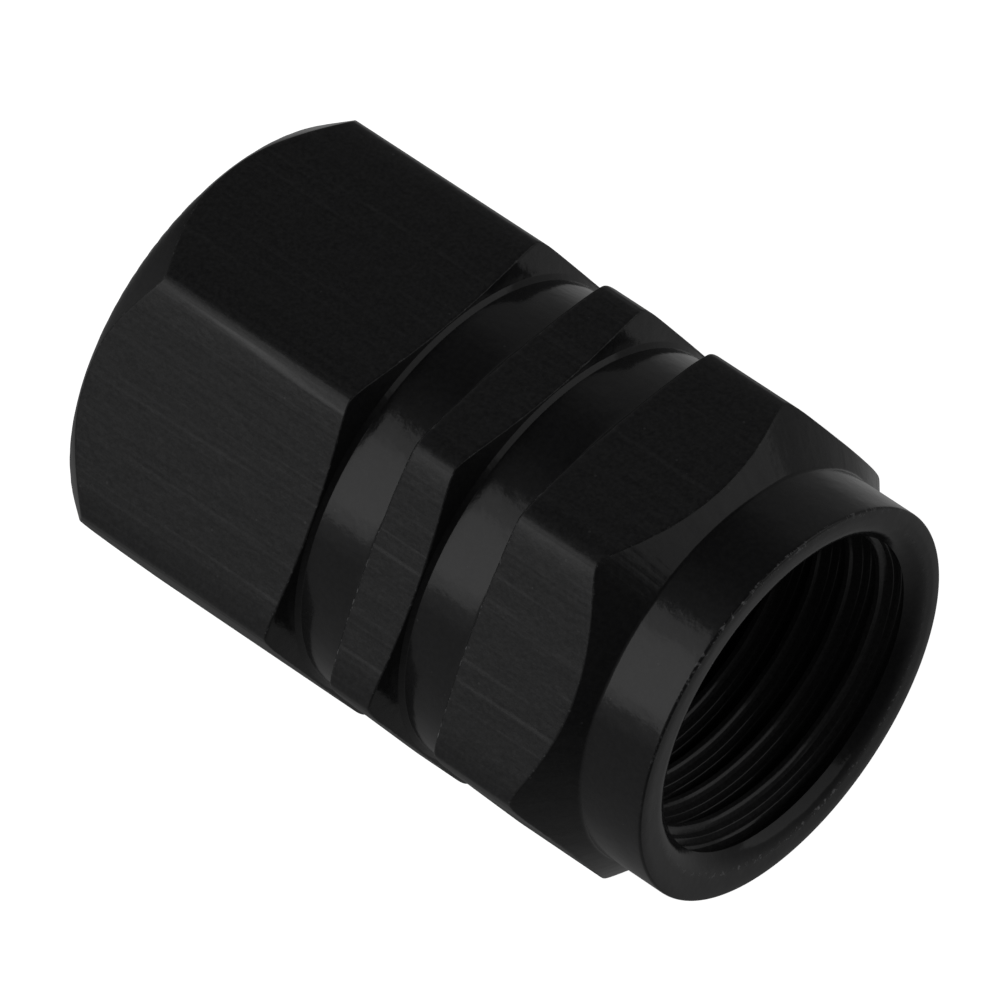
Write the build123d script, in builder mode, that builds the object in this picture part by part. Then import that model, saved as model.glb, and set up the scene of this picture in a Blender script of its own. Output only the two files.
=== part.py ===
from build123d import *
import math
import os

# Tyre valve cap turned from hexagon bar, in millimetres and degrees.
# It lies on one flat, with its axis along X and its mouth towards +X.

# Hexagon bar
across_flats = 9.67
length = 15.16
corner_round = 0.25

# Closed end: a turned chamfer, rounded into the end face
end_face_diameter = 9.24
end_chamfer_angle = 35.5  # between the chamfer and the axis
end_round = 1.0

# Turned grooves, measured along their floors from the rim
groove_diameter = 9.4
groove_width = 1.41
groove_setback = 4.625
groove_pitch = 2.76
groove_count = 2
shoulder_angle = 13  # lean of the shoulder on the closed end's side
shoulder_root_round = 0.1
wall_angle = 9  # lean of the wall on the mouth's side

# Round collar at the mouth, and the cone that leads up to the hexagon
collar_wall = 0.58  # outside the thread
collar_length = 1.57
cone_angle = 42  # lean of the cone from a plane square to the axis
rim_chamfer = 0.08

# Blind hole for the valve stem's thread, at the thread's outer diameter
thread_diameter = 7.75
thread_depth = 8.5
lead_in = 0.04
drill_diameter = 6.9
drill_depth = 10.2
drill_point_angle = 118

# Places that follow from the sizes
mouth_x = length / 2
closed_x = -length / 2
axis_height = across_flats / 2
corner_radius = across_flats / math.sqrt(3)
turning_radius = corner_radius + corner_round  # just clear of the bar's corners

bar_end = Plane(origin=(closed_x, 0, axis_height), x_dir=(0, 1, 0), z_dir=(1, 0, 0))
turning_plane = Plane(origin=(0, 0, axis_height), x_dir=(1, 0, 0), z_dir=(0, -1, 0))
turning_axis = Axis((0, 0, axis_height), (1, 0, 0))


def run(rise, lean):
    # Distance along the axis of a slope that climbs by rise and leans from square
    return rise * math.tan(math.radians(lean))


with BuildPart() as valve_cap:
    # Hexagon bar with its drawn corners
    with BuildSketch(bar_end) as bar_section:
        RegularPolygon(across_flats / 2, 6, major_radius=False)
        fillet(bar_section.vertices(), corner_round)
    extrude(amount=length)

    # What the lathe leaves of the bar: end chamfer, cone and collar
    end_radius = end_face_diameter / 2
    collar_radius = thread_diameter / 2 + collar_wall
    collar_x = mouth_x - collar_length
    chamfer_run = run(turning_radius - end_radius, 90 - end_chamfer_angle)
    cone_run = run(turning_radius - collar_radius, cone_angle)
    with BuildSketch(turning_plane) as turned_section:
        with BuildLine():
            outline = FilletPolyline(
                (closed_x, 0),
                (closed_x, end_radius),
                (closed_x + chamfer_run, turning_radius),
                (collar_x - cone_run, turning_radius),
                (collar_x, collar_radius),
                (mouth_x - rim_chamfer, collar_radius),
                (mouth_x, collar_radius - rim_chamfer),
                (mouth_x, 0),
                radius=[end_round, 0, 0, 0, 0, 0],
            )
            Line(outline @ 1, outline @ 0)
        make_face()
    revolve(axis=turning_axis, mode=Mode.INTERSECT)

    # Grooves, each with a leaning shoulder, a round floor and a steeper wall
    groove_radius = groove_diameter / 2
    groove_rise = turning_radius - groove_radius
    for place in range(groove_count):
        near_x = mouth_x - groove_setback - place * groove_pitch
        far_x = near_x - groove_width
        with BuildSketch(turning_plane):
            with BuildLine():
                groove = FilletPolyline(
                    (near_x + run(groove_rise, wall_angle), turning_radius),
                    (near_x, groove_radius),
                    (far_x, groove_radius),
                    (far_x - run(groove_rise, shoulder_angle), turning_radius),
                    radius=[0, shoulder_root_round],
                )
                Line(groove @ 1, groove @ 0)
            make_face()
        revolve(axis=turning_axis, mode=Mode.SUBTRACT)

    # Blind hole: lead-in, thread, tapered run-out, drilled end and drill point
    thread_radius = thread_diameter / 2
    drill_radius = drill_diameter / 2
    thread_end_x = mouth_x - thread_depth
    runout_x = thread_end_x - (thread_radius - drill_radius)
    drill_end_x = mouth_x - drill_depth
    point_x = drill_end_x - run(drill_radius, 90 - drill_point_angle / 2)
    with BuildSketch(turning_plane) as hole_section:
        with BuildLine():
            Polyline(
                (mouth_x, 0),
                (mouth_x, thread_radius + lead_in),
                (mouth_x - lead_in, thread_radius),
                (thread_end_x, thread_radius),
                (runout_x, drill_radius),
                (drill_end_x, drill_radius),
                (point_x, 0),
                close=True,
            )
        make_face()
    revolve(axis=turning_axis, mode=Mode.SUBTRACT)

valve_cap.part.label = "valve_cap"

os.makedirs("parts", exist_ok=True)
export_step(valve_cap.part, "parts/valve_cap.step")
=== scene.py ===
import math

import bmesh
import bpy
import numpy as np
from mathutils import Matrix, Vector, noise


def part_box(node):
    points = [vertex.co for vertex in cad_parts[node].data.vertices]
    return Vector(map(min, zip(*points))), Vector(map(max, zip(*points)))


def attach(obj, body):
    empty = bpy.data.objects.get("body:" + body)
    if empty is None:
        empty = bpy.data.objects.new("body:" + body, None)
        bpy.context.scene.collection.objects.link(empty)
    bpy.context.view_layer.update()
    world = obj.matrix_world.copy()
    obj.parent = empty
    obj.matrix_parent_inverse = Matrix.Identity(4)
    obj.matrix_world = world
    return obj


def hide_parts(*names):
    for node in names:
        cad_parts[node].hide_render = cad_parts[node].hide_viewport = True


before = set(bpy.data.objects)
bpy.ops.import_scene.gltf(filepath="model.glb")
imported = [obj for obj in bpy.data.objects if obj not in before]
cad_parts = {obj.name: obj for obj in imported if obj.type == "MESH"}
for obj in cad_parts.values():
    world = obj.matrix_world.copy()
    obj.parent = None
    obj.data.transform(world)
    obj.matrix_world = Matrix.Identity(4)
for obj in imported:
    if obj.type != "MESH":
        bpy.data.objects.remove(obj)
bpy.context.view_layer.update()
capLow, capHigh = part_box("valve_cap")
mm = 0.001
print("frame loaded")


# nodes

def addNode(tree, kind, inputs=None, **settings):
    node = tree.nodes.new(kind)
    for name, value in settings.items():
        setattr(node, name, value)
    for name, value in (inputs or {}).items():
        if isinstance(value, bpy.types.NodeSocket):
            tree.links.new(value, node.inputs[name])
        else:
            node.inputs[name].default_value = value
    return node


def doMath(tree, operation, first, second=0.0, clamp=False):
    node = addNode(tree, "ShaderNodeMath", {0: first, 1: second}, operation=operation, use_clamp=clamp)
    return node.outputs[0]


def vectorMath(tree, operation, first, second=None, scale=None):
    inputs = {0: first}
    if second is not None:
        inputs[1] = second
    if scale is not None:
        inputs["Scale"] = scale
    node = addNode(tree, "ShaderNodeVectorMath", inputs, operation=operation)
    return node.outputs["Value" if operation in ("LENGTH", "DOT_PRODUCT") else "Vector"]


def mapRange(tree, value, fromLow, fromHigh, toLow=0.0, toHigh=1.0, smooth=False):
    kind = "SMOOTHSTEP" if smooth else "LINEAR"
    limits = {"Value": value, 1: fromLow, 2: fromHigh, 3: toLow, 4: toHigh}
    return addNode(tree, "ShaderNodeMapRange", limits, interpolation_type=kind).outputs["Result"]


def mixColour(tree, share, first, second):
    return addNode(tree, "ShaderNodeMix", {0: share, 6: first, 7: second}, data_type="RGBA").outputs[2]


def addNoise(tree, vector, scale, detail, roughness=0.5):
    inputs = {"Vector": vector, "Scale": scale, "Detail": detail, "Roughness": roughness}
    return addNode(tree, "ShaderNodeTexNoise", inputs).outputs["Fac"]


def newGroup(name, inputs, outputs):
    group = bpy.data.node_groups.new(name, "ShaderNodeTree")
    for label, (kind, value) in inputs.items():
        socket = group.interface.new_socket(label, in_out="INPUT", socket_type=kind)
        if value is not None:
            socket.default_value = value
    for label in outputs:
        group.interface.new_socket(label, in_out="OUTPUT", socket_type="NodeSocketFloat")
    return group, group.nodes.new("NodeGroupInput"), group.nodes.new("NodeGroupOutput")


def useGroup(tree, group, inputs):
    return addNode(tree, "ShaderNodeGroup", inputs, node_tree=group)


# what every finish shares

surface = {
    "deepStretch": (0.35, 1.0, 1.0), "deepRange": (0.48, 0.74),
    "dashRange": (0.35, 0.6), "dashLeast": 0.35,     # deep lines come and go along their length
    "scratchStretch": (0.7, 1.15, 1.15), "scratchRange": (0.64, 0.80), "scratchRough": 0.25,
    "speckLevel": 0.55,     # share of the cells that have no speck
    "wearSharp": 9.0,
    "acrossRadius": 4.7,     # where lines across the cone are spaced, in mm from the axis
    "dustRange": (0.35, 0.65), "roughRange": (0.3, 0.9),
    "bare": (0.42, 0.42, 0.43, 1.0), "bareShine": 0.4, "ior": 1.5,
}


# tool marks: fine lines with a few deeper ones, running where the vector is stretched, and short bright scratches
def makeToolMarks():
    sockets = {
        "Vector": ("NodeSocketVector", None),
        "Fine Scale": ("NodeSocketFloat", 10.0),
        "Deep Scale": ("NodeSocketFloat", 3.0),
        "Deep Share": ("NodeSocketFloat", 0.4),
    }
    group, given, result = newGroup("toolMarks", sockets, ["Marks", "Scratches"])
    vector, deepScale = given.outputs["Vector"], given.outputs["Deep Scale"]
    fine = addNoise(group, vector, given.outputs["Fine Scale"], 4.0, 0.65)
    deep = addNoise(group, vectorMath(group, "MULTIPLY", vector, surface["deepStretch"]), deepScale, 1.0)
    dashes = addNoise(group, vector, deepScale, 0.0)
    scratch = addNoise(group, vectorMath(group, "MULTIPLY", vector, surface["scratchStretch"]), deepScale, 0.0)
    lines = mapRange(group, deep, *surface["deepRange"], smooth=True)
    strength = mapRange(group, dashes, *surface["dashRange"], surface["dashLeast"], 1.0)
    deepLines = doMath(group, "MULTIPLY", lines, strength)
    weighted = doMath(group, "MULTIPLY", deepLines, given.outputs["Deep Share"])
    group.links.new(doMath(group, "ADD", fine, weighted), result.inputs["Marks"])
    scratches = mapRange(group, scratch, *surface["scratchRange"], smooth=True)
    group.links.new(scratches, result.inputs["Scratches"])
    return group


# grain of the dyed oxide, with a few pale specks
def makeOxideGrain():
    sockets = {
        "Vector": ("NodeSocketVector", None),
        "Scale": ("NodeSocketFloat", 25.0),
        "Speck Scale": ("NodeSocketFloat", 2.2),
        "Speck Size": ("NodeSocketFloat", 0.06),
    }
    group, given, result = newGroup("oxideGrain", sockets, ["Grain", "Specks"])
    grain = addNoise(group, given.outputs["Vector"], given.outputs["Scale"], 3.0, 0.6)
    cells = addNode(group, "ShaderNodeTexVoronoi", {
        "Vector": given.outputs["Vector"], "Scale": given.outputs["Speck Scale"], "Randomness": 1.0,
    })
    near = doMath(group, "LESS_THAN", cells.outputs["Distance"], given.outputs["Speck Size"])
    pick = addNode(group, "ShaderNodeSeparateColor", {"Color": cells.outputs["Color"]})
    chosen = doMath(group, "GREATER_THAN", pick.outputs[0], surface["speckLevel"])
    group.links.new(grain, result.inputs["Grain"])
    group.links.new(doMath(group, "MULTIPLY", near, chosen), result.inputs["Specks"])
    return group


# bare metal where an edge has lost its oxide, in broken spots along the edge; at the rim, the lip and the groove
# walls it is gathered round the angles where glints fall, so there it is partly painted glint
def makeEdgeWear():
    sockets = {
        "Vector": ("NodeSocketVector", None),
        "Scale": ("NodeSocketFloat", 9.0),
        "Amount": ("NodeSocketFloat", 0.5),
    }
    group, given, result = newGroup("edgeWear", sockets, ["Wear"])
    edge = addNode(group, "ShaderNodeAttribute", attribute_name="edge")
    spots = addNoise(group, given.outputs["Vector"], given.outputs["Scale"], 4.0, 0.7)
    level = doMath(group, "SUBTRACT", 1.0, given.outputs["Amount"])
    broken = doMath(group, "SUBTRACT", spots, level)
    sharp = doMath(group, "MULTIPLY", broken, surface["wearSharp"], clamp=True)
    group.links.new(doMath(group, "MULTIPLY", sharp, edge.outputs["Fac"]), result.inputs["Wear"])
    return group


# slow unevenness of a machined face, which makes its reflections cloudy
def makeUnevenness():
    sockets = {"Vector": ("NodeSocketVector", None), "Scale": ("NodeSocketFloat", 1.2)}
    group, given, result = newGroup("unevenness", sockets, ["Wave"])
    wave = addNoise(group, given.outputs["Vector"], given.outputs["Scale"], 2.0, 0.55)
    group.links.new(wave, result.inputs["Wave"])
    return group


toolMarks = makeToolMarks()
oxideGrain = makeOxideGrain()
edgeWear = makeEdgeWear()
unevenness = makeUnevenness()
print("node groups made")


# black anodised finishes, with the bore's dye lifted as painted fill light

finishes = {
    "drawnFlats": {
        "black": 0.026, "dusty": 0.045, "smooth": 0.28, "rough": 0.42, "lines": "along", "stretch": 0.035,
        "fineScale": 9.0, "deepScale": 6.0, "deepShare": 1.4, "markDepth": 0.0016, "scratches": 0.8,
        "grainScale": 11.0, "grainDepth": 0.0045, "waveScale": 2.2, "waveDepth": 0.014,
        "wear": 0.42, "wearScale": 9.0, "specks": 0.12,
    },
    "turnedRounds": {
        "black": 0.026, "dusty": 0.034, "smooth": 0.10, "rough": 0.20, "lines": "round", "stretch": 0.05,
        "fineScale": 8.0, "deepScale": 4.0, "deepShare": 0.0, "markDepth": 0.0006, "scratches": 0.0,
        "grainScale": 9.0, "grainDepth": 0.0022, "waveScale": 1.5, "waveDepth": 0.012,
        "wear": 0.46, "wearScale": 7.0, "specks": 0.08,
    },
    "threadedBore": {
        # lifted black and dusty levels: painted fill light standing in for glare inside the bore
        "black": 0.060, "dusty": 0.085, "smooth": 0.10, "rough": 0.20, "lines": "round", "stretch": 0.06,
        "fineScale": 9.0, "deepScale": 5.0, "deepShare": 0.4, "markDepth": 0.0012, "scratches": 0.0,
        "grainScale": 14.0, "grainDepth": 0.0012, "waveScale": 2.0, "waveDepth": 0.004,
        "wear": 0.36, "wearScale": 7.0, "specks": 0.15,
    },
    "scrapedCone": {
        "black": 0.026, "dusty": 0.036, "smooth": 0.13, "rough": 0.26, "lines": "across", "stretch": 0.15,
        "fineScale": 7.0, "deepScale": 4.0, "deepShare": 0.5, "markDepth": 0.0030, "scratches": 0.0,
        "grainScale": 9.0, "grainDepth": 0.0020, "waveScale": 2.0, "waveDepth": 0.012,
        "wear": 0.42, "wearScale": 9.0, "specks": 0.1,
    },
}
finishNames = list(finishes)     # also the order of the cap's material slots


def dyed(level):     # black dye leans a little to blue
    return level, level, level + 0.001, 1.0


# place on the face in mm, squeezed along the way its machining lines run
def lineVector(tree, fromAxis, kind, stretch):
    if kind == "along":
        return vectorMath(tree, "MULTIPLY", fromAxis, (stretch, 1.0, 1.0))
    flatTurn = vectorMath(tree, "MULTIPLY", fromAxis, (0.0, 1.0, 1.0))
    outward = vectorMath(tree, "LENGTH", flatTurn)
    depth = addNode(tree, "ShaderNodeSeparateXYZ", {0: fromAxis}).outputs["X"]
    profile = addNode(tree, "ShaderNodeCombineXYZ", {"X": doMath(tree, "ADD", depth, outward)}).outputs[0]
    if kind == "round":     # lines run round the axis, on faces square to it as well
        return vectorMath(tree, "ADD", profile, vectorMath(tree, "SCALE", flatTurn, scale=stretch))
    around = vectorMath(tree, "SCALE", vectorMath(tree, "NORMALIZE", flatTurn), scale=surface["acrossRadius"])
    return vectorMath(tree, "ADD", around, vectorMath(tree, "SCALE", profile, scale=stretch))


def makeFinish(name):
    look = finishes[name]
    material = bpy.data.materials.new(name)
    material.use_nodes = True
    tree = material.node_tree
    tree.nodes.clear()
    place = addNode(tree, "ShaderNodeTexCoord").outputs["Object"]
    inMm = vectorMath(tree, "SCALE", place, scale=1 / mm)
    fromAxis = vectorMath(tree, "ADD", inMm, (0.0, 0.0, -axisHeight))
    marks = useGroup(tree, toolMarks, {
        "Vector": lineVector(tree, fromAxis, look["lines"], look["stretch"]),
        "Fine Scale": look["fineScale"], "Deep Scale": look["deepScale"], "Deep Share": look["deepShare"],
    })
    grain = useGroup(tree, oxideGrain, {"Vector": fromAxis, "Scale": look["grainScale"]})
    wave = useGroup(tree, unevenness, {"Vector": fromAxis, "Scale": look["waveScale"]})
    wear = useGroup(tree, edgeWear, {"Vector": fromAxis, "Scale": look["wearScale"], "Amount": look["wear"]})
    specks = doMath(tree, "MULTIPLY", grain.outputs["Specks"], look["specks"])
    # bare spots from edge wear, partly painted glint where gathered by angle, and from random specks
    wearAndGlint = doMath(tree, "MAXIMUM", wear.outputs["Wear"], specks)
    dust = mapRange(tree, grain.outputs["Grain"], *surface["dustRange"])
    dye = mixColour(tree, dust, dyed(look["black"]), dyed(look["dusty"]))
    height = doMath(tree, "MULTIPLY", marks.outputs["Marks"], look["markDepth"])
    for source, depth in (
        (grain.outputs["Grain"], look["grainDepth"]), (wave.outputs["Wave"], look["waveDepth"]),
    ):
        height = doMath(tree, "ADD", height, doMath(tree, "MULTIPLY", source, depth))
    bump = addNode(tree, "ShaderNodeBump", {"Height": height, "Strength": 1.0, "Distance": mm})
    shader = addNode(tree, "ShaderNodeBsdfPrincipled", {
        "Base Color": mixColour(tree, wearAndGlint, dye, surface["bare"]),
        "Metallic": doMath(tree, "MULTIPLY", wearAndGlint, surface["bareShine"]),
        "Roughness": mapRange(tree, marks.outputs["Marks"], *surface["roughRange"], look["smooth"], look["rough"]),
        "IOR": surface["ior"], "Normal": bump.outputs["Normal"],
        "Coat Weight": doMath(tree, "MULTIPLY", marks.outputs["Scratches"], look["scratches"]),
        "Coat Roughness": surface["scratchRough"],
    })
    addNode(tree, "ShaderNodeOutputMaterial", {"Surface": shader.outputs["BSDF"]})
    return material


# cap body: a hexagon bar, turned down at its ends and grooves, made column by column around the axis
# lengths are in mm, angles in degrees

capShape = {
    "acrossFlats": (capHigh.z - capLow.z) / mm,
    "cornerReach": 0.8,     # how far a corner's rolled edge runs into each flat
    "cornerTight": 0.11,     # length over which the corner turns most
    "endRadius": 4.62, "endChamferAngle": 35.5, "endRound": 1.0, "endMiddle": 0.02,
    "grooveRadius": 4.7, "grooveWidth": 1.41, "grooveSetbacks": (4.625, 7.385),     # setbacks from the mouth
    "shoulderAngle": 13, "facetRise": 0.09, "facetLean": 44, "facetRound": 0.02,
    "wallAngle": 9, "wallRound": 0.1,
    "collarRadius": 4.455, "collarLength": 1.57, "collarStop": 0.2, "coneAngle": 42, "rootRound": 0.12,
    "rimStart": 0.14, "rimRound": 0.06, "rimLean": 4.5, "rimMiddle": 4.25,
    "rimCrownRound": 1.0, "rimDrop": 0.001,     # the rim face is slightly crowned
    "lipCorner": (0.031, 3.815), "lipRound": 0.55,     # corners are depth and radius
    "leadInEnd": (0.29, 3.556), "leadInRound": 0.012, "leadInBack": 0.02,
    "boreRadius": 3.875, "boreStart": 0.05, "boreDepth": 8.5,
    "boreShift": 0.1, "boreShiftAt": 295, "shiftBlend": 0.3,     # the bore sits a little off the collar's middle
    "drillRadius": 3.45, "drillDepth": 10.2, "drillPointAngle": 118, "drillPointShares": (0.3, 0.6, 0.95),
    "edgeSoft": 0.035, "wallSoft": 0.07, "edgeUneven": 0.5, "unevenScale": 14, "unevenStep": 3.7,
    "edgeWear": {"end": 0.2, "shoulder": 0.4, "cone": 0.3},
    "glintWearAt": {"rim": (10, 0.02), "lip": (182, 0.1), "wall": (75, 0.0)},     # angle where the wear is gathered as painted glint, and the least share elsewhere
    # how finely it is cut up
    "flatColumns": 36, "cornerColumns": 10, "cornerSteps": 200, "cornerGather": 2.2,
    "rings": {"end": 26, "flat": 5, "shoulder": 12, "floor": 10, "wall": 12, "cone": 14, "bore": 8},
    "flatGuard": 0.06, "turnedSteps": 6, "mouthSteps": 8,
}

mouthX = capHigh.x / mm
closedX = capLow.x / mm
axisHeight = capShape["acrossFlats"] / 2
outerRadius = capShape["acrossFlats"] / math.sqrt(3) + 0.2     # just past the corners


def spin(x, radius, angle):     # angle from straight up, towards -Y
    return Vector((x, -radius * math.sin(angle), axisHeight + radius * math.cos(angle)))


def boreMiddle(share=1.0):
    s = capShape
    return spin(0, s["boreShift"] * share, math.radians(s["boreShiftAt"])) - spin(0, 0, 0)


def run(rise, lean):
    return rise * math.tan(math.radians(lean))


# a path through corners, each rounded off with steps + 1 points
def filletedPath(corners, radii, steps=14):
    corners = [Vector(corner) for corner in corners]
    path = [corners[0]]
    for before, corner, after, radius in zip(corners, corners[1:], corners[2:], radii):
        back = (before - corner).normalized()
        ahead = (after - corner).normalized()
        half = back.angle(ahead) / 2
        centre = corner + (back + ahead).normalized() * radius / math.sin(half)
        first = corner + back * radius / math.tan(half) - centre
        last = corner + ahead * radius / math.tan(half) - centre
        sweep = math.pi - 2 * half
        for step in range(steps + 1):
            share = step / steps
            path.append(centre + (first * math.sin((1 - share) * sweep) + last * math.sin(share * sweep))
                        / math.sin(sweep))
    path.append(corners[-1])
    return np.array([tuple(point) for point in path])


def pathLengths(path):
    return np.concatenate([[0], np.cumsum(np.hypot(*np.diff(path, axis=0).T))])


def pointsAlong(path, places):
    lengths = pathLengths(path)
    return [(float(np.interp(p, lengths, path[:, 0])), float(np.interp(p, lengths, path[:, 1]))) for p in places]


def lengthAtRadius(path, radius, falling=False):
    lengths = pathLengths(path)
    if falling:
        low = int(np.argmin(path[:, 1]))
        return float(np.interp(radius, path[:low + 1, 1][::-1], lengths[:low + 1][::-1]))
    low = len(path) - 1 - int(np.argmin(path[::-1, 1]))
    return float(np.interp(radius, path[low:, 1], lengths[low:]))


def turnedPaths():
    s = capShape
    endPath = filletedPath([
        (closedX, 0), (closedX, s["endRadius"]),
        (closedX + run(outerRadius - s["endRadius"], 90 - s["endChamferAngle"]), outerRadius),
    ], [s["endRound"]])
    groovePaths = []
    rise = outerRadius - s["grooveRadius"]
    for setback in sorted(s["grooveSetbacks"], reverse=True):
        near = mouthX - setback
        far = near - s["grooveWidth"]
        facetX = far - run(s["facetRise"], s["shoulderAngle"])
        groovePaths.append(filletedPath([
            (far - run(rise, s["shoulderAngle"]), outerRadius), (facetX, s["grooveRadius"] + s["facetRise"]),
            (facetX + run(s["facetRise"], 90 - s["facetLean"]), s["grooveRadius"]),
            (near, s["grooveRadius"]), (near + run(rise, s["wallAngle"]), outerRadius),
        ], [s["facetRound"], s["facetRound"], s["wallRound"]], s["turnedSteps"]))
    collarX = mouthX - s["collarLength"]
    conePath = filletedPath([
        (collarX - run(outerRadius - s["collarRadius"], s["coneAngle"]), outerRadius),
        (collarX, s["collarRadius"]), (mouthX - s["collarStop"], s["collarRadius"]),
    ], [s["rootRound"]], s["turnedSteps"])
    return endPath, groovePaths, conePath


# the mouth from the collar over the rim and its lip to the end of the lead-in cone
def mouthPath():
    s = capShape
    sag = run(s["collarRadius"] - s["rimMiddle"], s["rimLean"])
    crown = s["rimCrownRound"] * (1 / math.cos(math.radians(s["rimLean"])) - 1)
    corners = [
        (s["rimStart"], s["collarRadius"]), (sag - crown, s["collarRadius"]),
        (s["rimDrop"] - crown, s["rimMiddle"]), s["lipCorner"], s["leadInEnd"],
        (s["leadInEnd"][0] + s["leadInBack"], s["boreRadius"]),
    ]
    radii = [s["rimRound"], s["rimCrownRound"], s["lipRound"], s["leadInRound"]]
    return filletedPath([(mouthX - depth, radius) for depth, radius in corners], radii, s["mouthSteps"])


def boreCorners():
    s = capShape
    startX = mouthX - s["leadInEnd"][0]
    endX = mouthX - s["boreDepth"]
    bore = [(x, s["boreRadius"]) for x in np.linspace(startX - s["boreStart"], endX, s["rings"]["bore"])]
    drillX = mouthX - s["drillDepth"]
    runOutX = endX - (s["boreRadius"] - s["drillRadius"])
    pointX = drillX - run(s["drillRadius"], 90 - s["drillPointAngle"] / 2)
    drilled = [(runOutX, s["drillRadius"]), (drillX, s["drillRadius"])]
    for share in s["drillPointShares"]:
        drilled.append((drillX + (pointX - drillX) * share, s["drillRadius"] * (1 - share)))
    return bore + drilled


# places around the hexagon as (angle, distance from the axis), with corners that turn fastest in their middle
def hexagonColumns():
    s = capShape
    apothem = s["acrossFlats"] / 2
    lean = math.radians(30)
    fine = np.linspace(0, s["cornerReach"], s["cornerSteps"])
    turn = lean * fine / (fine + s["cornerTight"]) * (1 + s["cornerTight"] / s["cornerReach"])
    step = fine[1]
    side = np.concatenate([[0], np.cumsum(np.cos(turn[:-1]) * step)])     # away from the corner's middle line
    drop = np.concatenate([[0], np.cumsum(np.sin(turn[:-1]) * step)])     # towards the axis
    top = (apothem - side[-1] * math.sin(lean)) / math.cos(lean) + drop[-1]
    shares = np.linspace(0, 1, s["cornerColumns"]) ** s["cornerGather"]
    picks = [int(i) for i in (len(fine) - 1) * shares]
    half = [(math.atan2(side[i], top - drop[i]), math.hypot(side[i], top - drop[i])) for i in picks]
    flatHalf = apothem * math.tan(lean - half[-1][0])
    columns = []
    for corner in range(6):
        middle = math.radians(30 + 60 * corner)
        columns += [(middle - angle, reach) for angle, reach in reversed(half)]
        columns += [(middle + angle, reach) for angle, reach in half[1:]]
        for t in np.linspace(-flatHalf, flatHalf, s["flatColumns"] + 1)[1:-1]:
            columns.append((middle + lean + math.atan2(t, apothem), math.hypot(t, apothem)))
    return columns


def softEdge(before, corner, after, count=4):
    points = []
    for step in range(1, count):
        t = step / count
        points.append(tuple((1 - t) ** 2 * b + 2 * t * (1 - t) * c + t * t * a
                            for b, c, a in zip(before, corner, after)))
    return points


# one column's outline from the closed end to the drill point, with the zone and edge share of each point
def columnOutline(angle, reach, paths):
    s = capShape
    rings = s["rings"]
    endPath, groovePaths, conePath = paths
    outline = []

    def put(points, zone, edge=0.0):
        outline.extend((x, r, zone, edge) for x, r in points)

    def softness(edgeNumber, soft=s["edgeSoft"]):
        around = (math.cos(angle) * s["unevenScale"], math.sin(angle) * s["unevenScale"])
        wobble = noise.noise(Vector((*around, edgeNumber * s["unevenStep"])))
        return soft * (1 + s["edgeUneven"] * wobble)

    def wearAndGlint(name):     # share of wear at this column, gathered round one angle where glints fall: painted glint as well as wear
        mostAt, least = s["glintWearAt"][name]
        return least + (1 - least) * max(0, math.cos(angle - math.radians(mostAt))) ** 3

    def flatPart(fromX, toX):
        guard = min(s["flatGuard"], (toX - fromX) / 6)
        inner = np.linspace(fromX + guard, toX - guard, rings["flat"])[1:-1]
        put([(x, reach) for x in (fromX, fromX + guard, *inner, toX - guard, toX)], "flat")

    # closed end
    cut = lengthAtRadius(endPath, reach)
    soft = softness(0)
    put(pointsAlong(endPath, np.linspace(s["endMiddle"], cut - soft, rings["end"])), "end")
    crossX = pointsAlong(endPath, [cut])[0][0]
    put(softEdge(outline[-1][:2], (crossX, reach), (crossX + soft, reach)), "end", s["edgeWear"]["end"])
    startX = crossX + soft

    # grooves, each after a stretch of the flat
    facetEnd = 2 * (s["turnedSteps"] + 1)     # last point of the facet's second round
    for index, path in enumerate(groovePaths):
        lengths = pathLengths(path)
        down = lengthAtRadius(path, reach, falling=True)
        downX = pointsAlong(path, [down])[0][0]
        soft = softness(1 + 2 * index)
        flatPart(startX, downX - soft)
        into = pointsAlong(path, [down + soft])[0]
        put(softEdge((downX - soft, reach), (downX, reach), into), "flat", s["edgeWear"]["shoulder"])
        put(pointsAlong(path, np.linspace(down + soft, lengths[1], rings["shoulder"])), "groove")
        put(pointsAlong(path, lengths[2:facetEnd + 1]), "groove")
        wallAt = float(lengths[facetEnd + 1])
        put(pointsAlong(path, np.linspace(lengths[facetEnd], wallAt, rings["floor"])[1:]), "groove")
        up = lengthAtRadius(path, reach)
        upX = pointsAlong(path, [up])[0][0]
        soft = softness(2 + 2 * index, s["wallSoft"])
        put(pointsAlong(path, np.linspace(wallAt, up - soft, rings["wall"])[1:]), "groove")
        put(softEdge(outline[-1][:2], (upX, reach), (upX + soft, reach)), "groove", wearAndGlint("wall"))
        startX = upX + soft

    # cone and collar
    down = lengthAtRadius(conePath, reach, falling=True)
    downX = pointsAlong(conePath, [down])[0][0]
    soft = softness(9)
    flatPart(startX, downX - soft)
    into = pointsAlong(conePath, [down + soft])[0]
    put(softEdge((downX - soft, reach), (downX, reach), into), "flat", s["edgeWear"]["cone"])
    rootAt = float(pathLengths(conePath)[1])
    put(pointsAlong(conePath, np.linspace(down + soft, rootAt, rings["cone"])), "cone")
    put([tuple(point) for point in conePath[2:]], "mouth")

    # mouth and bore
    perCorner = s["mouthSteps"] + 1
    rimEdge = range(2, perCorner + 1)
    lipEdge = range(2 * perCorner + 2, 2 * perCorner + 4)
    for place, point in enumerate(mouthPath()):
        # rim and lip wear is gathered round one angle each: painted glint as well as wear
        wear = wearAndGlint("rim") if place in rimEdge else wearAndGlint("lip") if place in lipEdge else 0.0
        put([tuple(point)], "mouth", wear)
    put(boreCorners(), "bore")
    return outline


zoneFinish = {
    "end": "turnedRounds", "flat": "drawnFlats", "groove": "turnedRounds",
    "cone": "scrapedCone", "mouth": "turnedRounds", "bore": "threadedBore",
}


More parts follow.
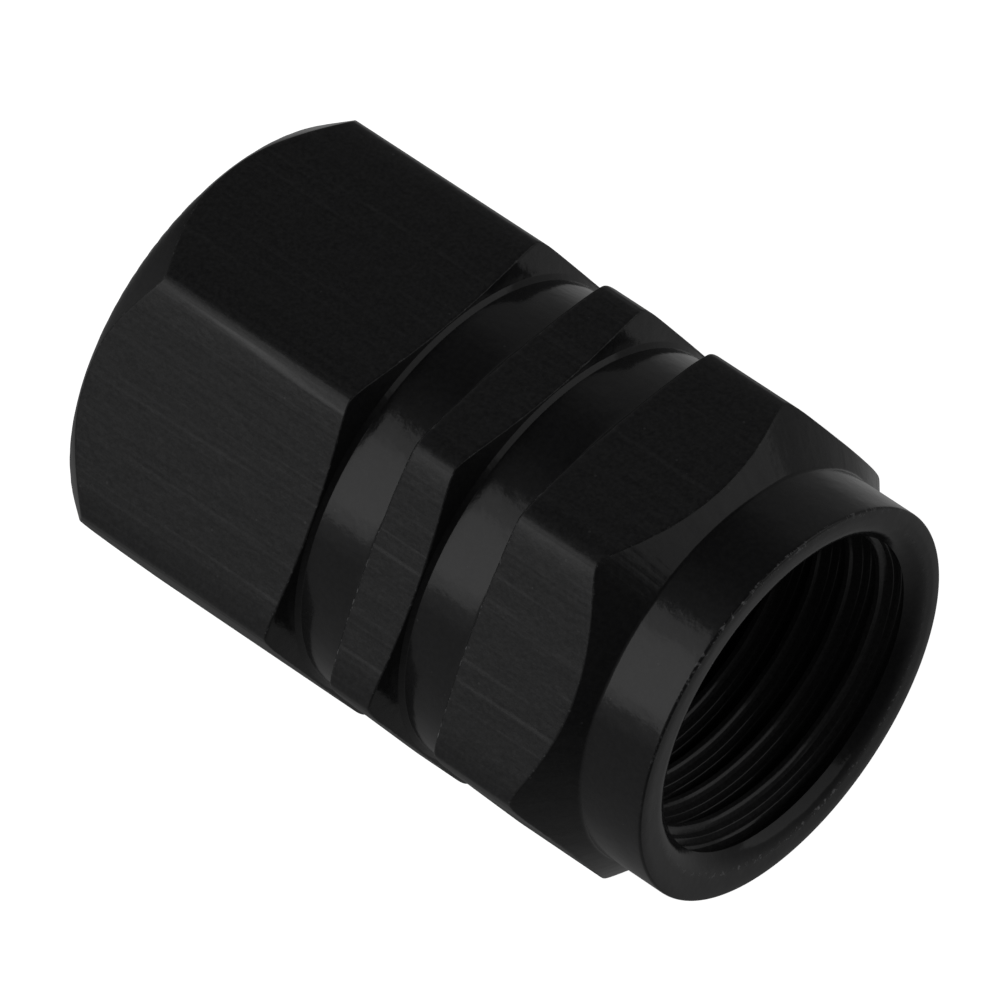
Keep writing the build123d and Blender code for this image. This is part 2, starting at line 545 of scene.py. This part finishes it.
def buildBody(mesh):
    paths = turnedPaths()
    edgeLayer = mesh.verts.layers.float.new("edge")
    rows = []
    for angle, reach in hexagonColumns():
        outline = columnOutline(angle, reach, paths)
        row = []
        for x, radius, zone, edge in outline:
            inside = 1.0 if zone == "bore" else 0.0
            if zone == "mouth":
                inside = min(1, max(0, (capShape["rimMiddle"] - radius) / capShape["shiftBlend"]))
            vert = mesh.verts.new((spin(x, radius, angle) + boreMiddle(inside)) * mm)
            vert[edgeLayer] = edge
            row.append(vert)
        rows.append(row)
    zones = [zone for x, radius, zone, edge in outline]     # the same in every column
    slots = {zone: finishNames.index(finish) for zone, finish in zoneFinish.items()}
    for here, there in zip(rows, rows[1:] + rows[:1]):
        for ring in range(len(zones) - 1):
            face = mesh.faces.new((here[ring], there[ring], there[ring + 1], here[ring + 1]))
            face.material_index = slots[zones[ring + 1]]
            face.smooth = True
    for ring in (0, -1):     # the flat middles of the closed end and the drill point
        face = mesh.faces.new([row[ring] for row in rows])
        face.material_index = slots[zones[ring]]
    return len(rows), len(zones)


# thread: one right-handed ridge that winds down the bore and rises from its wall at the end of the lead-in

threadShape = {
    "pitch": 25.4 / 32, "rootRadius": 3.87, "crestWidth": 0.1, "backSlope": 60,
    # climb and slope of the front flank from root to crest, in three steps
    "facets": (
        (0.095, 64), (0.012, 57), (0.034, 48), (0.010, 36), (0.007, 6),
        (0.090, 66), (0.010, 41), (0.014, 6),
        (0.082, 66), (0.012, 57), (0.032, 48), (0.012, 36),
    ),
    "startDepth": 0.16, "startAngle": 367,     # where the ridge's root begins
    "turnSteps": 96, "runIn": 12,     # it reaches full height after this many steps
    "wobble": 0.012, "wobbleFrom": 0.05, "wobbleScale": (22, 6), "wobbleSeeds": (1.5, 7.5),
    "sink": 0.04,     # how far the ridge's foot reaches into the wall
}


def threadProfile():
    t = threadShape
    place, radius = 0.0, t["rootRadius"]
    front = [(place, radius)]
    for climb, slope in t["facets"]:
        place += climb / math.tan(math.radians(slope))
        radius -= climb
        front.append((place, radius))
    sunk = t["rootRadius"] + t["sink"]
    crestEnd = place + t["crestWidth"]
    backEnd = crestEnd + run(t["rootRadius"] - radius, 90 - t["backSlope"])
    return [(0.0, sunk), *front, (crestEnd, radius), (backEnd, t["rootRadius"]),
            (t["pitch"], t["rootRadius"]), (t["pitch"], sunk)]


def buildThread(mesh):
    t = threadShape
    profile = threadProfile()
    turns = (capShape["boreDepth"] - t["startDepth"]) / t["pitch"]
    slot = finishNames.index("threadedBore")
    loops = []
    for step in range(int(turns * t["turnSteps"]) + 1):
        turn = step / t["turnSteps"]
        angle = math.radians(t["startAngle"]) - turn * 2 * math.pi
        grown = min(1, step / t["runIn"])
        loop = []
        for place, radius in profile:
            depth = t["startDepth"] + turn * t["pitch"] + place
            height = (t["rootRadius"] - radius) * (grown if radius < t["rootRadius"] else 1)
            if height > t["wobbleFrom"]:
                spot = (turn * t["wobbleScale"][0], place * t["wobbleScale"][1])
                alongWobble, heightWobble = (noise.noise(Vector((*spot, seed))) for seed in t["wobbleSeeds"])
                depth += t["wobble"] * alongWobble
                height += t["wobble"] * heightWobble / 2
            point = spin(mouthX - depth, t["rootRadius"] - height, angle) + boreMiddle()
            loop.append(mesh.verts.new(point * mm))
        loops.append(loop)
    for here, there in zip(loops, loops[1:]):
        for a, b, c, d in zip(here, here[1:], there[1:], there):
            face = mesh.faces.new((a, d, c, b))
            face.material_index = slot
            face.smooth = True
        for a, b in zip(here, there):     # facets keep crisp edges along the thread
            mesh.edges.get((a, b)).smooth = False
    return len(loops)


def makeCap():
    mesh = bmesh.new()
    columns, rings = buildBody(mesh)
    print("body of", columns, "columns and", rings, "rings")
    bmesh.ops.recalc_face_normals(mesh, faces=mesh.faces)
    threadLoops = buildThread(mesh)
    print("thread of", threadLoops, "steps")
    data = bpy.data.meshes.new("capBody")
    mesh.to_mesh(data)
    mesh.free()
    for name in finishNames:
        data.materials.append(makeFinish(name))
    cap = bpy.data.objects.new("capBody", data)
    bpy.context.scene.collection.objects.link(cap)
    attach(cap, "root")
    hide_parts("valve_cap")
    return cap


cap = makeCap()
print("cap made,", len(cap.data.polygons), "faces")


# studio: a pale floor, a soft box at the camera's left and a room that is dim overhead

studio = {
    "floorSize": 1.2, "floorColour": (0.9, 0.9, 0.9, 1.0), "floorRough": 0.9, "floorGlow": 1.0,
    "lightAway": 0.25,
    "softBox": {"azimuth": -123, "height": 33, "size": (0.20, 0.224), "brightness": 0.47},
    "softBoxCore": {"azimuth": -122, "height": 30.5, "size": (0.17, 0.140), "brightness": 0.21},
    "fillCard": {"azimuth": 29.5, "height": 25.5, "size": (0.28, 0.177), "brightness": 0.24},
    # heights of a direction where the walls fade out overhead and where the floor takes over
    "room": {"level": 0.16, "fall": 0.09, "below": 0.135, "overhead": (0.55, 0.87), "horizon": (-0.06, 0.02)},
    # patches of the room by direction: angles in degrees where each starts and ends, and its strength there
    "underCap": {"from": (-0.45, 0.35, -0.82), "angles": (3, 30), "levels": (0.8, 1.0)},
    "dimFloor": {"from": (0.75, 0.0, -0.66), "angles": (15, 45), "levels": (0.85, 1.0)},
    "backFloor": {"from": (0.45, 0.7, -0.55), "angles": (5, 40), "levels": (0.1, 0.0)},
    "darkSide": {"from": (0.87, -0.47, 0.05), "angles": (20, 60), "levels": (0.1, 1.0)},
    "darkBack": {"from": (-0.88, 0.47, 0.0), "angles": (10, 35), "levels": (0.25, 1.0)},
    "litFloor": {"from": (-0.45, 0.75, -0.45), "angles": (11, 29), "levels": (0.16, 0.0)},
    "boxGlow": {"from": (-0.455, -0.695, 0.557), "angles": (31, 50), "levels": (0.074, 0.0)},
}


def makeFloor():
    bpy.ops.mesh.primitive_plane_add(size=studio["floorSize"])
    floor = bpy.context.object
    floor.name = "floor"
    material = bpy.data.materials.new("paleFloor")
    material.use_nodes = True
    shader = material.node_tree.nodes["Principled BSDF"]
    shader.inputs["Base Color"].default_value = studio["floorColour"]
    shader.inputs["Roughness"].default_value = studio["floorRough"]
    shader.inputs["Emission Color"].default_value = (1.0, 1.0, 1.0, 1.0)
    shader.inputs["Emission Strength"].default_value = studio["floorGlow"]
    floor.data.materials.append(material)
    floor.visible_glossy = False
    floor.visible_diffuse = False
    floor.visible_shadow = False


def makeLight(name):
    look = studio[name]
    light = bpy.data.lights.new(name, "AREA")
    light.shape = "RECTANGLE"
    light.size, light.size_y = look["size"]
    light.energy = look["brightness"] * math.pi * light.size * light.size_y
    lamp = bpy.data.objects.new(name, light)
    bpy.context.scene.collection.objects.link(lamp)
    around, up = math.radians(look["azimuth"]), math.radians(look["height"])
    direction = Vector((math.cos(around) * math.cos(up), math.sin(around) * math.cos(up), math.sin(up)))
    lamp.location = Vector((0, 0, axisHeight * mm)) + direction * studio["lightAway"]
    lamp.rotation_euler = direction.to_track_quat("Z", "Y").to_euler()


def makeRoom():
    world = bpy.data.worlds.new("room")
    world.use_nodes = True
    bpy.context.scene.world = world
    tree = world.node_tree
    tree.nodes.clear()
    direction = addNode(tree, "ShaderNodeTexCoord").outputs["Generated"]
    height = addNode(tree, "ShaderNodeSeparateXYZ", {0: direction}).outputs["Z"]

    def patch(name):
        look = studio[name]
        facing = vectorMath(tree, "DOT_PRODUCT", direction, Vector(look["from"]).normalized())
        low, high = (math.radians(limit) for limit in look["angles"])
        return mapRange(tree, doMath(tree, "ARCCOSINE", facing), low, high, *look["levels"])

    room = studio["room"]
    overhead = mapRange(tree, height, *room["overhead"], 1.0, 0.0, smooth=True)
    walls = doMath(tree, "SUBTRACT", room["level"], doMath(tree, "MULTIPLY", height, room["fall"]))
    upper = doMath(tree, "ADD", doMath(tree, "MULTIPLY", walls, overhead), patch("boxGlow"))
    shaded = doMath(tree, "MULTIPLY", patch("underCap"), patch("dimFloor"))
    lit = doMath(tree, "ADD", patch("litFloor"), patch("backFloor"))
    lower = doMath(tree, "ADD", doMath(tree, "MULTIPLY", shaded, room["below"]), lit)
    below = mapRange(tree, height, *room["horizon"], 1.0, 0.0)
    level = addNode(tree, "ShaderNodeMix", {0: below, 2: upper, 3: lower}).outputs[0]
    dark = doMath(tree, "MULTIPLY", patch("darkSide"), patch("darkBack"))
    background = addNode(tree, "ShaderNodeBackground", {
        "Color": (1.0, 1.0, 1.0, 1.0), "Strength": doMath(tree, "MULTIPLY", level, dark),
    })
    addNode(tree, "ShaderNodeOutputWorld", {"Surface": background.outputs[0]})


shot = {
    "sensor": 36, "lens": 545.5, "nearest": 0.01,
    "place": (134.920, -140.842, 229.044),     # in mm
    "right": (0.74208, 0.66977, -0.02662),
    "up": (-0.49212, 0.57134, 0.65681),
    "back": (0.45513, -0.47430, 0.75358),
}


def makeCamera():
    data = bpy.data.cameras.new("camera")
    data.sensor_width = shot["sensor"]
    data.lens = shot["lens"]
    data.clip_start = shot["nearest"]
    camera = bpy.data.objects.new("camera", data)
    bpy.context.scene.collection.objects.link(camera)
    turn = Matrix((shot["right"], shot["up"], shot["back"])).transposed().to_4x4()
    camera.matrix_world = Matrix.Translation(Vector(shot["place"]) * mm) @ turn
    bpy.context.scene.camera = camera


makeFloor()
for lightName in ("softBox", "softBoxCore", "fillCard"):
    makeLight(lightName)
makeRoom()
makeCamera()
bpy.context.scene.view_settings.view_transform = "Standard"
print("studio set")
